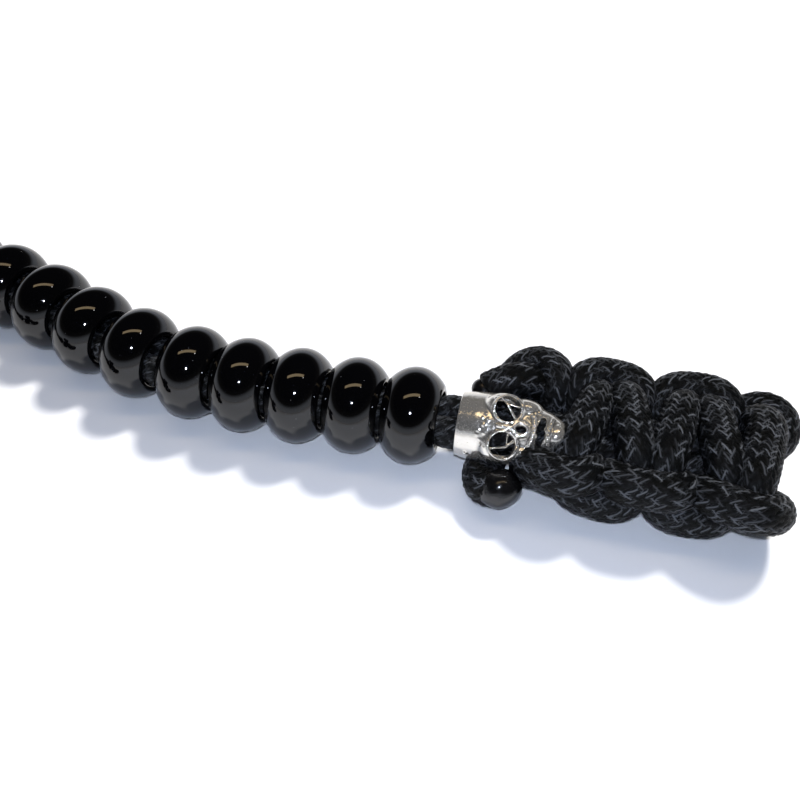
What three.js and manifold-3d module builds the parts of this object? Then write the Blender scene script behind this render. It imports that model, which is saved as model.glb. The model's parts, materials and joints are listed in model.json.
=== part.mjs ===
// Prayer beads strung on one doubled length of braided cord: 33 oblate beads, a cast skull bead,
// and a flat cobra-stitch bar woven from the two ends of the same cord, with a stopper knot and
// a hanging loop at the far end.
// Millimetres, +Z up. +X runs from the hanging loop's side to the woven bar's end, and the strand
// lies on the plane z = 0. The origin is the middle of the strand's footprint.

import * as THREE from "three";
import { mergeVertices } from "three/addons/utils/BufferGeometryUtils.js";
import Module from "manifold-3d";

const wasm = await Module();
wasm.setup();

// ---------------------------------------------------------------- driving dimensions

const beadCount = 33;
const beadDiameter = 12;        // over the equator
const beadLength = 6.8;         // along the cord
const beadRimDiameter = 7.9;    // flat ring around each end of the bore
const beadBand = 1.8;           // length of the flat band at the equator
const beadBore = 6.9;
const beadSides = 14;
const beadGap = 0.45;           // running gap between beads pushed together
const rimClearance = 0.02;      // least gap between two rims where the cord bends
const tightBeads = 5;           // beads pushed together against the skull
const looseSlack = 1.2;         // extra cord left beside each of the other beads
const endSlack = 11.8;          // free cord between the last bead and the stopper knot

const runCordDiameter = 2.8;    // each strand, squeezed side by side inside the bores
const runCordGap = 0.4;         // between the two strands
const workCordDiameter = 3.6;   // the woven strands and the loop, lightly squeezed
const cordSides = 8;
const touchGap = 0.3;           // between cord surfaces that press on each other

const skullLength = 13.2;       // crown to chin
const skullWidth = 8.8;
const skullDepth = 9.6;         // back of the head to brow
const skullBore = 6.9;
const crownRing = 3.2;          // length of the closed ring at the crown
const eyeDiameter = 3.0;
const eyeSpacing = 4.4;
const skullStandoff = 5.5;      // first bead's centre to the crown
const skullRoll = 38;           // degrees the face leans towards -Y about the cord

const barHeading = -13.4;       // degrees, direction of the bar from the first bead
const barOffset = 1.9;          // sideways step of the bar's axis from the first bead's axis
const halfKnot = 4.8;           // along the bar, from one crossing to the next
const crossings = 5;            // crossings of the front strand
const barClearance = 0.5;       // from the skull's chin to the nearest crossing
const coreTail = 0.8;           // core strands beyond the first crossing
const coreSpacing = 3.8;        // between the two core strands' centres in the bar
const barLegReach = 4.4;        // half the flat part of each crossing
const barShoulder = 7.3;        // where a strand starts to turn at the bar's edge
const barEdge = 8.8;            // centre of a strand at the outermost point of its turn
const turnRoom = 2.4;           // how far a strand's turn stays clear of the next one's

const knotDiameter = 14;
const knotLength = 15;
const knotBand = 6;
const loopLength = 16;
const loopWidth = 13;

const tipLength = 1.7;          // melted end of each woven strand
const tipDiameter = 4.4;

// ---------------------------------------------------------------- values that follow from them

const beadRadius = beadDiameter / 2;
const axisHeight = beadRadius;                       // the cord's axis through beads lying down
const runRadius = runCordDiameter / 2;
const runOffset = (runCordDiameter + runCordGap) / 2;
const workRadius = workCordDiameter / 2;
const backHeight = workRadius;
const coreHeight = backHeight + workRadius + touchGap + runRadius;
const frontHeight = coreHeight + runRadius + touchGap + workRadius;
const barStart = skullStandoff + skullLength + barClearance + workRadius; // the crossing nearest the skull
const firstCrossing = barStart + (crossings - 1) * halfKnot;              // from the first bead's centre
const coreEnd = firstCrossing + coreTail;           // where the core strands become the woven ones
const shoulderShift = (workCordDiameter + turnRoom - halfKnot) / 4; // narrows the turns of a short half knot

const mats = {
  bead: new THREE.MeshStandardMaterial({ color: "#0b0b0c", roughness: 0.08, metalness: 0 }),
  skull: new THREE.MeshStandardMaterial({ color: "#c9c6c0", roughness: 0.15, metalness: 1 }),
  cord: new THREE.MeshStandardMaterial({ color: "#15161a", roughness: 0.75, metalness: 0 }),
  melted: new THREE.MeshStandardMaterial({ color: "#0d0d0f", roughness: 0.25, metalness: 0 }),
};

const strand = new THREE.Group();

function addMesh(name, geometry, material, parent = strand) {
  const mesh = new THREE.Mesh(geometry, material);
  mesh.name = name;
  parent.add(mesh);
  return mesh;
}

// ---------------------------------------------------------------- routes

// A point beside the bar: s along it from the first bead, n across it from the bar's own axis.
function barPoint(s, n, z) {
  const turn = THREE.MathUtils.degToRad(barHeading);
  const across = n + barOffset;
  return new THREE.Vector3(
    s * Math.cos(turn) - across * Math.sin(turn),
    s * Math.sin(turn) + across * Math.cos(turn),
    z,
  );
}

function smooth(points) {
  return new THREE.CatmullRomCurve3(points, false, "centripetal");
}

// The middle of the two strands, from the bar's end, through the skull and the beads, to the knot.
const routePoints = [
  barPoint(coreEnd, 0, coreHeight),
  barPoint(coreEnd - 7, 0, coreHeight),
  barPoint(coreEnd - 14, 0, coreHeight),
  barPoint(barStart, 0, coreHeight),
  barPoint(barStart - 5.5, -1.1, coreHeight + 0.3),
  barPoint(skullStandoff + 4.5, -barOffset, axisHeight),
  barPoint(skullStandoff - 0.5, -barOffset, axisHeight),
  ...[
    [0, 0], [-7, 1.7], [-14, 3.4], [-21, 5.3], [-28.6, 7.9], [-36, 11.6], [-42.9, 16],
    [-49.7, 20.9], [-57, 25.6], [-66, 30.4], [-77, 34], [-90, 35.5], [-106, 35.5], [-120, 35.5],
    [-134, 35.5], [-144.3, 33.4], [-153.1, 27.6], [-158.9, 18.8], [-161, 8.5], [-158.9, -1.8],
    [-153.1, -10.6], [-144.3, -16.4], [-134, -18.5], [-120, -18.5], [-106, -18.5],
    [-92, -18.5], [-78, -18.5], [-64, -18.5], [-50, -18.5], [-36, -18.5], [-22, -18.5],
  ].map(([x, y]) => new THREE.Vector3(x, y, axisHeight)),
];
const route = smooth(routePoints);
route.arcLengthDivisions = 4000;
const routeLength = route.getLength();

function routeAt(distance) {
  const u = distance / routeLength;
  return { point: route.getPointAt(u), tangent: route.getTangentAt(u) };
}

// Where the first bead's centre sits on the route: the nearest point to (0, 0).
function firstBeadDistance() {
  let best = 0;
  let least = Infinity;
  for (let d = 0; d < coreEnd + beadDiameter; d += 0.01) {
    const gap = Math.hypot(routeAt(d).point.x, routeAt(d).point.y);
    if (gap < least) {
      least = gap;
      best = d;
    }
  }
  return best;
}

// From one bead's centre to the next: their running gap and slack, or more where the cord bends so
// far that the rims would meet.
function beadPitch(from, slack) {
  let pitch = beadLength + beadGap + slack;
  for (let i = 0; i < 5; i += 1) {
    const bend = routeAt(from).tangent.angleTo(routeAt(from + pitch).tangent);
    pitch = Math.max(pitch, beadLength + rimClearance + bend * beadRimDiameter / 2);
  }
  return pitch;
}

const beadStart = firstBeadDistance();
const beadDistances = [beadStart];
for (let i = 1; i < beadCount; i += 1) {
  const slack = i < tightBeads ? 0 : looseSlack;
  beadDistances.push(beadDistances[i - 1] + beadPitch(beadDistances[i - 1], slack));
}
const knotDistance = beadDistances[beadCount - 1] + beadLength / 2 + endSlack;

// ---------------------------------------------------------------- solids

function circleSection(radius, sides) {
  const points = [];
  for (let i = 0; i < sides; i += 1) {
    const angle = ((i + 0.5) * 2 * Math.PI) / sides;
    points.push(new THREE.Vector2(radius * Math.cos(angle), radius * Math.sin(angle)));
  }
  return new THREE.Shape(points);
}

function tube(curve, radius, step) {
  return new THREE.ExtrudeGeometry(circleSection(radius, cordSides), {
    steps: Math.ceil(curve.getLength() / step),
    bevelEnabled: false,
    extrudePath: curve,
  });
}

// A solid of revolution about X with a flat facet underneath, from [x, radius] points. The radii
// are measured over the flats.
function turned(profile, sides) {
  const widen = 1 / Math.cos(Math.PI / sides);
  const points = profile.map(([x, radius]) => new THREE.Vector2(radius * widen, x));
  const geometry = new THREE.LatheGeometry(points, sides, Math.PI / sides);
  geometry.rotateZ(-Math.PI / 2);
  return geometry;
}

function makeBead() {
  const half = beadLength / 2;
  const rim = beadRimDiameter / 2;
  const band = beadBand / 2;
  const bulge = (half - band) / Math.sqrt(1 - (rim / beadRadius) ** 2);
  const shoulder = band + (half - band) * 0.62;
  const shoulderRadius = beadRadius * Math.sqrt(1 - ((shoulder - band) / bulge) ** 2);
  return turned([
    [-half, beadBore / 2],
    [-half, rim],
    [-shoulder, shoulderRadius],
    [-band, beadRadius],
    [band, beadRadius],
    [shoulder, shoulderRadius],
    [half, rim],
    [half, beadBore / 2],
    [-half, beadBore / 2],
  ], beadSides);
}

function addBeads() {
  const bead = makeBead();
  beadDistances.forEach((distance, i) => {
    const { point, tangent } = routeAt(distance);
    const name = `bead_${String(i + 1).padStart(2, "0")}`;
    const mesh = addMesh(name, bead, mats.bead);
    mesh.position.copy(point);
    mesh.position.z = axisHeight;
    mesh.rotation.z = Math.atan2(tangent.y, tangent.x);
  });
}

// The two strands that run side by side from the bar's end to the stopper knot.
function runStrand(side) {
  const points = [];
  const last = knotDistance - touchGap;
  const count = Math.round(last / 3);
  const barPart = beadStart - skullStandoff - skullLength;
  for (let i = 0; i <= count; i += 1) {
    const distance = (last * i) / count;
    const { point, tangent } = routeAt(distance);
    const spread = THREE.MathUtils.smoothstep(distance, barPart - 4, barPart + 4);
    const offset = THREE.MathUtils.lerp(coreSpacing / 2, runOffset, spread);
    const across = new THREE.Vector3(-tangent.y, tangent.x, 0).normalize();
    points.push(point.addScaledVector(across, side * offset));
  }
  return smooth(points);
}

function addRunCords() {
  addMesh("cord_run_near", tube(runStrand(1), runRadius, 4.6), mats.cord);
  addMesh("cord_run_far", tube(runStrand(-1), runRadius, 4.6), mats.cord);
}

// One woven strand: it leaves its core strand's end in a lobe, then crosses the bar from edge to
// edge. face is +1 in front of the core and -1 behind it; side is the edge it starts from.
function wovenPoints(face, side, count) {
  const height = (above) => coreHeight + face * above;
  const full = frontHeight - coreHeight;
  const points = [
    barPoint(coreEnd + touchGap, side * coreSpacing / 2, coreHeight),
    barPoint(coreEnd + 1.2, side * coreSpacing / 2, coreHeight),
    barPoint(coreEnd + 2.6, side * (coreSpacing / 2 + 0.7), height(0.1)),
    barPoint(coreEnd + 3.7, side * (barEdge - 3.8), height(0.4)),
    barPoint(coreEnd + 2.6, side * (barEdge - 1.4), height(1.2)),
    barPoint(firstCrossing + 0.7, side * (barEdge - 1.9), height(full - 1.1)),
  ];
  for (let i = 0; i < count; i += 1) {
    const from = i % 2 === 0 ? side : -side;
    const s = firstCrossing - i * halfKnot;
    points.push(barPoint(s, from * barLegReach, height(full - 0.1)));
    points.push(barPoint(s, 0, height(full)));
    points.push(barPoint(s, -from * barLegReach, height(full - 0.1)));
    points.push(barPoint(s - shoulderShift, -from * barShoulder, height(full - 1)));
    points.push(barPoint(s - halfKnot / 2, -from * barEdge, height(touchGap)));
    if (i + 1 < count) {
      points.push(barPoint(s - halfKnot + shoulderShift, -from * barShoulder, height(full - 1)));
    }
  }
  return points;
}

// The front strand ends beside the skull, on the far side; the back strand makes one more arch
// there, passes under the core and ends on the near side.
function addWovenStrands() {
  const lastCrossing = firstCrossing - (crossings - 1) * halfKnot;
  const front = wovenPoints(1, -1, crossings);
  front.push(barPoint(lastCrossing - halfKnot - 0.2, barShoulder + 0.1, frontHeight - 1));
  front.push(barPoint(lastCrossing - halfKnot - 2.6, barShoulder - 1.7, frontHeight - 0.5));
  front.push(barPoint(lastCrossing - halfKnot - 5, barShoulder - 2, frontHeight - 1.2));
  const back = wovenPoints(-1, 1, crossings + 1);
  back.push(barPoint(lastCrossing - 2 * halfKnot - 1.2, barShoulder - 0.2, backHeight + 1.3));
  back.push(barPoint(lastCrossing - 2 * halfKnot - 0.6, 3.6, backHeight + 0.1));
  back.push(barPoint(lastCrossing - 2 * halfKnot - 0.1, -2, backHeight));
  back.push(barPoint(lastCrossing - 2 * halfKnot + 0.4, -6.6, backHeight + 0.4));
  back.push(barPoint(lastCrossing - 2 * halfKnot + 0.9, -9, backHeight + 1.9));
  for (const [name, points] of [["front", front], ["back", back]]) {
    const curve = smooth(points);
    addMesh(`weave_${name}_strand`, tube(curve, workRadius, 2.6), mats.cord);
    addTip(`${name}_melted_end`, curve);
  }
}

// The melted end: a short dome that faces the strand's cut end.
function addTip(name, curve) {
  const radius = tipDiameter / 2;
  const tip = addMesh(name, turned([
    [0, 0],
    [0, radius * 0.86],
    [tipLength * 0.35, radius],
    [tipLength * 0.8, radius * 0.7],
    [tipLength, 0],
  ], 10), mats.melted);
  const end = curve.getPointAt(1);
  const direction = curve.getTangentAt(1);
  tip.position.copy(end).addScaledVector(direction, touchGap);
  tip.quaternion.setFromUnitVectors(new THREE.Vector3(1, 0, 0), direction);
}

// ---------------------------------------------------------------- skull bead

function solidOf(geometry) {
  const bare = geometry.clone();
  bare.deleteAttribute("normal");
  bare.deleteAttribute("uv");
  const merged = mergeVertices(bare, 1e-4);
  return new wasm.Manifold(new wasm.Mesh({
    numProp: 3,
    vertProperties: new Float32Array(merged.attributes.position.array),
    triVerts: new Uint32Array(merged.index.array),
  }));
}

function geometryOf(solid) {
  const mesh = solid.getMesh();
  const geometry = new THREE.BufferGeometry();
  geometry.setAttribute("position", new THREE.BufferAttribute(mesh.vertProperties, 3));
  geometry.setIndex(new THREE.BufferAttribute(mesh.triVerts, 1));
  geometry.computeVertexNormals();
  return geometry;
}

function ellipsoid(x, y, z, rx, ry, rz, wide = 20, high = 12) {
  const geometry = new THREE.SphereGeometry(1, wide, high);
  geometry.rotateZ(-Math.PI / 2);
  geometry.scale(rx, ry, rz);
  geometry.translate(x, y, z);
  return solidOf(geometry);
}

function block(x0, x1, y0, y1, z0, z1) {
  const geometry = new THREE.BoxGeometry(x1 - x0, y1 - y0, z1 - z0);
  geometry.translate((x0 + x1) / 2, (y0 + y1) / 2, (z0 + z1) / 2);
  return solidOf(geometry);
}

function rod(radius, length, sides) {
  return new THREE.CylinderGeometry(radius, radius, length, sides);
}

// The skull's own frame: x from the crown to the chin, y across the face, z out of the face, with
// the cord's axis along x.
function makeSkull() {
  const halfWidth = skullWidth / 2;
  const face = skullDepth / 2;
  const cranium = ellipsoid(skullLength * 0.4, 0, 0, skullLength * 0.47, halfWidth, face);
  const jaw = ellipsoid(skullLength * 0.68, 0, 1, skullLength * 0.32, halfWidth * 0.72, face * 0.72);
  const far = skullLength * 2;
  const cord = rod(skullBore / 2, far, 16);
  cord.rotateZ(Math.PI / 2);
  let skull = cranium.add(jaw)
    .subtract(block(-far, 0.2, -far, far, -far, far))
    .subtract(solidOf(cord))
    .subtract(block(crownRing, far, -far, far, -far, skullBore * 0.12));
  for (const side of [-1, 1]) {
    const eye = rod(eyeDiameter / 2, face, 10);
    eye.rotateX(Math.PI / 2);
    eye.translate(skullLength * 0.47, side * eyeSpacing / 2, face);
    skull = skull.subtract(solidOf(eye));
  }
  const nose = rod(0.65, face, 3);
  nose.rotateX(Math.PI / 2);
  nose.translate(skullLength * 0.63, 0, face);
  const mouthAt = skullLength * 0.8;
  return skull
    .subtract(solidOf(nose))
    .subtract(block(mouthAt - 0.5, mouthAt + 0.5, -1.7, 1.7, face * 0.4, face * 1.5));
}

function addSkull() {
  const turnedSkull = new THREE.Group();
  turnedSkull.position.copy(barPoint(skullStandoff, -barOffset, axisHeight));
  turnedSkull.rotation.order = "ZYX";
  turnedSkull.rotation.z = THREE.MathUtils.degToRad(barHeading);
  turnedSkull.rotation.x = THREE.MathUtils.degToRad(skullRoll);
  strand.add(turnedSkull);
  addMesh("skull_bead", geometryOf(makeSkull()), mats.skull, turnedSkull);
}

// ---------------------------------------------------------------- knot and loop

function addKnotAndLoop() {
  const { point, tangent } = routeAt(knotDistance);
  const end = new THREE.Group();
  end.position.set(point.x, point.y, 0);
  end.rotation.z = Math.atan2(tangent.y, tangent.x);
  strand.add(end);
  const radius = knotDiameter / 2;
  const half = knotLength / 2;
  const band = knotBand / 2;
  const knot = addMesh("stopper_knot", turned([
    [-half, 0],
    [-half, radius * 0.6],
    [-(band + half) / 2, radius * 0.88],
    [-band, radius],
    [band, radius],
    [(band + half) / 2, radius * 0.88],
    [half, radius * 0.6],
    [half, 0],
  ], 12), mats.cord, end);
  knot.position.set(half, 0, radius);
  const x = knotLength + touchGap;
  const wide = loopWidth / 2 - workRadius;
  const leg = (side) => [
    new THREE.Vector3(x, side * (workRadius + touchGap), radius - 0.6),
    new THREE.Vector3(x + 1.2, side * (workRadius + touchGap), radius - 0.7),
    new THREE.Vector3(x + loopLength * 0.25, side * wide * 0.85, workRadius + 1.8),
    new THREE.Vector3(x + loopLength * 0.52, side * wide, workRadius + 0.2),
    new THREE.Vector3(x + loopLength * 0.8, side * wide * 0.72, workRadius),
  ];
  const curve = smooth([
    ...leg(1),
    new THREE.Vector3(x + loopLength - workRadius, 0, workRadius),
    ...leg(-1).reverse(),
  ]);
  addMesh("hanging_loop", tube(curve, workRadius, 3.6), mats.cord, end);
}

addBeads();
addRunCords();
addWovenStrands();
addSkull();
addKnotAndLoop();

// The origin goes to the middle of the footprint, on the plane that the strand lies on.
const footprint = new THREE.Box3().setFromObject(strand, true);
const middle = footprint.getCenter(new THREE.Vector3());
strand.position.set(-middle.x, -middle.y, -footprint.min.z);

const part = new THREE.Group();
part.add(strand);

export default part;
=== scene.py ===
import json
import math

import bmesh
import bpy
import numpy as np
from bpy.props import FloatProperty, FloatVectorProperty, IntProperty, PointerProperty, StringProperty
from bpy.types import Operator, Panel, PropertyGroup
from mathutils import Matrix, Vector
from mathutils.bvhtree import BVHTree

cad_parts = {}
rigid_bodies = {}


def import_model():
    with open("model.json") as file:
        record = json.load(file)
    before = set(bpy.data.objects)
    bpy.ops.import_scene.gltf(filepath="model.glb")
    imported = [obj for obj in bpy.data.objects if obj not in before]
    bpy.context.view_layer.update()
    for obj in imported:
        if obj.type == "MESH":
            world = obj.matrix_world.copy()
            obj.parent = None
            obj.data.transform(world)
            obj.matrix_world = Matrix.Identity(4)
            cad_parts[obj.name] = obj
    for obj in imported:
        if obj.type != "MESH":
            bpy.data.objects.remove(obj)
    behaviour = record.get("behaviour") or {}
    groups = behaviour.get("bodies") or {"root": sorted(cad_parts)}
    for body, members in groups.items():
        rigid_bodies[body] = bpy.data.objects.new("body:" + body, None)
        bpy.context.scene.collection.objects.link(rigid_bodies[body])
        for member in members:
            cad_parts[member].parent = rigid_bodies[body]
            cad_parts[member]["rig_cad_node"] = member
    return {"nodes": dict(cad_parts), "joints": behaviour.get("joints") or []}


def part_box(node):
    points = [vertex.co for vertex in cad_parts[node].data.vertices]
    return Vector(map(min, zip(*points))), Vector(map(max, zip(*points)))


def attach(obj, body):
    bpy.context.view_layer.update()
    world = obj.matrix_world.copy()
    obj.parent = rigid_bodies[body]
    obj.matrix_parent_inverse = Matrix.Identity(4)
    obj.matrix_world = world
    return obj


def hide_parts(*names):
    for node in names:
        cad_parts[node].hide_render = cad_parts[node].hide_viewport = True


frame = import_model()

bl_info = {
    "name": "Prayer bead strand",
    "version": (1, 0, 0),
    "blender": (4, 5, 0),
    "location": "3D View > Sidebar > Beads",
    "description": "Builds a strand of glossy beads on braided cord with a cast skull and a woven bar",
    "category": "Add Mesh",
}

# A new file's own cube, lamp and camera are no part of the strand.
for stray in [o for o in bpy.data.objects if "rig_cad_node" not in o and not o.name.startswith("body:")]:
    bpy.data.objects.remove(stray)
bpy.context.view_layer.update()

MM = 0.001
JOINTS = {j["child"]: j for j in frame["joints"]}
BEADS = sorted(n for n in frame["nodes"] if n.startswith("bead_"))


# ---------------------------------------------------------------- sizes and colours

class BeadSizes(PropertyGroup):
    diameter: FloatProperty(name="Diameter", description="Over the bead's equator", default=12 * MM, unit="LENGTH")
    length: FloatProperty(name="Length", description="Face to face along the cord", default=6.8 * MM, unit="LENGTH")
    face: FloatProperty(name="Face", description="Diameter of each flat end", default=8.2 * MM, unit="LENGTH")
    bore: FloatProperty(name="Bore", description="Diameter of the hole", default=6.9 * MM, unit="LENGTH")
    steps: IntProperty(name="Steps", description="Turns of the spun outline", default=96, min=24)
    colour: StringProperty(name="Colour", description="Body colour, sRGB", default="#030304")


class CordSizes(PropertyGroup):
    carriers: IntProperty(name="Carriers", description="Yarns that run each way round the sheath", default=20, min=8)
    braid_angle: FloatProperty(name="Braid angle", description="Between a yarn and the cord's length",
                               default=math.radians(40), subtype="ANGLE")
    yarn_rise: FloatProperty(name="Yarn rise", description="Height of a yarn's crown", default=0.3 * MM,
                             precision=5, unit="LENGTH")
    yarn_wave: FloatProperty(name="Yarn wave", description="Rise and fall of a yarn over and under others",
                             default=0.10 * MM, precision=5, unit="LENGTH")
    woven_radius: FloatProperty(name="Woven radius", description="Radius of the cord in the bar",
                                default=2.3 * MM, precision=5, unit="LENGTH")
    threaded_radius: FloatProperty(name="Threaded radius", description="Radius of the cord inside a bead",
                                   default=1.68 * MM, precision=5, unit="LENGTH")
    colour: StringProperty(name="Colour", description="Yarn colour, sRGB", default="#08090a")
    # Painted shade: this darker colour is painted on the yarns' flanks and between them, where shade falls.
    shade: StringProperty(name="Shade", description="Colour between the yarns, sRGB", default="#010101")


class WeaveSizes(PropertyGroup):
    half_knot: FloatProperty(name="Half knot", description="Bar length of one half knot", default=4.97 * MM,
                             precision=5, unit="LENGTH")
    first: FloatProperty(name="First crossing", description="From the first bead's centre",
                         default=40.7 * MM, precision=5, unit="LENGTH")
    spacing: FloatProperty(name="Contact spacing", description="Distance of two pressed cords' centres",
                           default=2.7 * MM, precision=5, unit="LENGTH")
    shrink: FloatProperty(name="Draw", description="Cord length left after the knots are drawn tight",
                          default=0.97, min=0.5, max=1)


class SkullSizes(PropertyGroup):
    voxel: FloatProperty(name="Voxel", description="Grid of the cast surface", default=0.1 * MM, precision=6,
                         unit="LENGTH")
    colour: StringProperty(name="Colour", description="Plated metal colour, sRGB", default="#dcd8d0")


class StageLook(PropertyGroup):
    floor: StringProperty(name="Floor", description="Paper colour, sRGB", default="#f1f3f7")
    camera: FloatVectorProperty(name="Camera", description="Place relative to the first bead's centre",
                                default=(-0.0016, -0.0782, 0.0808), subtype="TRANSLATION")
    lens: FloatProperty(name="Lens", description="Focal length in millimetres", default=41.36)
    tilt: FloatProperty(name="Tilt", description="Camera's angle below the horizon", default=math.radians(45),
                        subtype="ANGLE")


# ---------------------------------------------------------------- small helpers

def linear(code):
    """A node colour from an sRGB hex code."""
    parts = [int(code[i:i + 2], 16) / 255 for i in (1, 3, 5)]
    return tuple(c / 12.92 if c <= 0.04045 else ((c + 0.055) / 1.055) ** 2.4 for c in parts) + (1.0,)


def add_node(tree, kind, settings=(), **inputs):
    """Adds one node; inputs are values or other nodes' sockets, with spaces as underscores."""
    made = tree.nodes.new("ShaderNode" + kind)
    for key, value in dict(settings).items():
        setattr(made, key, value)
    for key, value in inputs.items():
        numbered = key[0] == "i" and key[1:].isdigit()
        slot = made.inputs[int(key[1:]) if numbered else key.replace("_", " ")]
        if isinstance(value, bpy.types.NodeSocket):
            tree.links.new(value, slot)
        else:
            slot.default_value = value
    return made


def new_material(name):
    """A material with a lone shader: returns it, its tree and the shader."""
    made = bpy.data.materials.new(name)
    made.use_nodes = True
    tree = made.node_tree
    return made, tree, next(n for n in tree.nodes if n.type == "BSDF_PRINCIPLED")


def add_piece(name, mesh, material, body, nodes=()):
    """Links a finished mesh (in metres, in place) as a smooth piece on a body."""
    mesh.name = name
    mesh.materials.clear()
    mesh.materials.append(material)
    mesh.shade_smooth()
    made = bpy.data.objects.new(name, mesh)
    bpy.context.scene.collection.objects.link(made)
    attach(made, body)
    if nodes:
        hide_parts(*nodes)
    return made


def mesh_from(bm, name="piece"):
    mesh = bpy.data.meshes.new(name)
    bm.to_mesh(mesh)
    bm.free()
    return mesh


def coordinates(mesh):
    co = np.empty(len(mesh.vertices) * 3)
    mesh.vertices.foreach_get("co", co)
    return co.reshape(-1, 3)


def smooth_path(points, spacing):
    """Evenly spaced points, `spacing` apart, along a smooth curve through given points."""
    points = np.asarray(points, float)
    knots = np.r_[0, np.cumsum(np.linalg.norm(np.diff(points, axis=0), axis=1) ** 0.5)]
    slope = np.gradient(points, knots, axis=0)
    t = np.linspace(0, knots[-1], 60 * len(points))
    k = np.clip(np.searchsorted(knots, t) - 1, 0, len(knots) - 2)
    h = (knots[k + 1] - knots[k])[:, None]
    x = (t - knots[k])[:, None] / h
    line = ((2 * x ** 3 - 3 * x ** 2 + 1) * points[k] + (x ** 3 - 2 * x ** 2 + x) * h * slope[k]
            + (3 * x ** 2 - 2 * x ** 3) * points[k + 1] + (x ** 3 - x ** 2) * h * slope[k + 1])
    return even(line, spacing)


def even(line, spacing):
    """The same polyline with points `spacing` apart."""
    run = np.r_[0, np.cumsum(np.linalg.norm(np.diff(line, axis=0), axis=1))]
    at = np.linspace(0, run[-1], max(3, int(round(run[-1] / spacing)) + 1))
    return np.stack([np.interp(at, run, line[:, k]) for k in range(line.shape[1])], axis=1)


# ---------------------------------------------------------------- the cord's place

# All places here are in millimetres. The bar has its own frame: s along it from the first bead's
# centre, n across it, z above its core cords.
BAR_HEADING = math.radians(-13.4)
BAR_OFFSET = 1.9
CORE_HEIGHT = 5.3
AXIS_HEIGHT = 6.0
ORIGIN = np.array([JOINTS["bead_01"]["pos_m"][0], JOINTS["bead_01"]["pos_m"][1], 0.0]) / MM
FLOOR = JOINTS["bead_01"]["pos_m"][2] / MM - AXIS_HEIGHT
ORIGIN[2] = FLOOR


def from_bar(p):
    """Bar frame points (s, n, z above the cores) to the strand's frame."""
    p = np.asarray(p, float)
    c, s = math.cos(BAR_HEADING), math.sin(BAR_HEADING)
    n = p[..., 1] + BAR_OFFSET
    return np.stack([p[..., 0] * c - n * s, p[..., 0] * s + n * c, p[..., 2] + CORE_HEIGHT], axis=-1) + ORIGIN


def to_bar(p):
    q = np.asarray(p, float) - ORIGIN
    c, s = math.cos(BAR_HEADING), math.sin(BAR_HEADING)
    return np.stack([q[..., 0] * c + q[..., 1] * s, -q[..., 0] * s + q[..., 1] * c - BAR_OFFSET,
                     q[..., 2] - CORE_HEIGHT], axis=-1)


# The middle of the two strands, from the bar's end through skull and beads to the knot.
CORE_ROUTE = [(38, 0, 0), (34, 0, 0), (27, 0, 0), (21, 0, 0), (15.5, -1.1, 0.3), (10, -1.9, 0.7), (5, -1.9, 0.7)]
BEAD_ROUTE = [(0, 0), (-7, 1.7), (-14, 3.4), (-21, 5.3), (-28.6, 7.9), (-36, 11.6), (-42.9, 16), (-49.7, 20.9),
              (-57, 25.6), (-66, 30.4), (-77, 34), (-90, 35.5), (-106, 35.5), (-120, 35.5), (-134, 35.5),
              (-144.3, 33.4), (-153.1, 27.6), (-158.9, 18.8), (-161, 8.5), (-158.9, -1.8), (-153.1, -10.6),
              (-144.3, -16.4), (-134, -18.5), (-120, -18.5), (-106, -18.5), (-92, -18.5), (-80, -18.5)]
KNOT_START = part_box("stopper_knot")[0].x / MM
KNOT_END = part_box("stopper_knot")[1].x / MM


def run_paths(spacing, sizes):
    """Centre lines and radii of the two strands that run from the bar to the knot."""
    middle = [from_bar(p) for p in CORE_ROUTE]
    middle += [np.array([x, y, AXIS_HEIGHT]) + ORIGIN for x, y in BEAD_ROUTE]
    end = KNOT_START + 1.5
    last = middle[-1]
    middle.append(np.array([end, last[1], last[2]]))
    line = smooth_path(middle, spacing)
    heading = np.gradient(line, axis=0)
    heading[:, 2] = 0
    heading /= np.linalg.norm(heading, axis=1)[:, None]
    across = np.stack([-heading[:, 1], heading[:, 0], np.zeros(len(line))], axis=1)
    # The strands spread to their full size where no bead holds them.
    bar_s = to_bar(line)[:, 0]
    run = np.r_[0, np.cumsum(np.linalg.norm(np.diff(line, axis=0), axis=1))]
    first = run[np.argmin(np.abs(bar_s))]
    held = np.zeros(len(line))
    for name in BEADS:
        centre = np.array(sum(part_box(name), Vector()) / 2) / MM
        at = run[np.argmin(np.linalg.norm(line - centre, axis=1))]
        held = np.maximum(held, np.clip((4.3 - np.abs(run - at)) / 0.9, 0, 1))
    held = np.where(run < first - 4.6, 0, held)
    # The last bead slides along the free cord, so the strands stay slim all the way to the knot.
    held = np.where(run > at, 1, held)
    free = 1 - held
    in_bar = np.clip((bar_s - 6) / 8, 0, 1)
    in_skull = np.clip(np.minimum(bar_s - 8.5, 20.0 - bar_s) / 1.5, 0, 1)
    in_skull = in_skull * in_skull * (3 - 2 * in_skull)
    radius = sizes.threaded_radius / MM + free * 0.24 + in_bar * 0.08 - in_skull * 0.42
    offset = 1.7 + free * 0.14 + in_bar * 0.06 - in_skull * 0.4
    return [line + across * (offset * side)[:, None] for side in (1, -1)], radius


# ---------------------------------------------------------------- drawing knots tight

# Distance of neighbouring points on a cord while it is drawn tight, in millimetres.
STEP = 0.9


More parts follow.
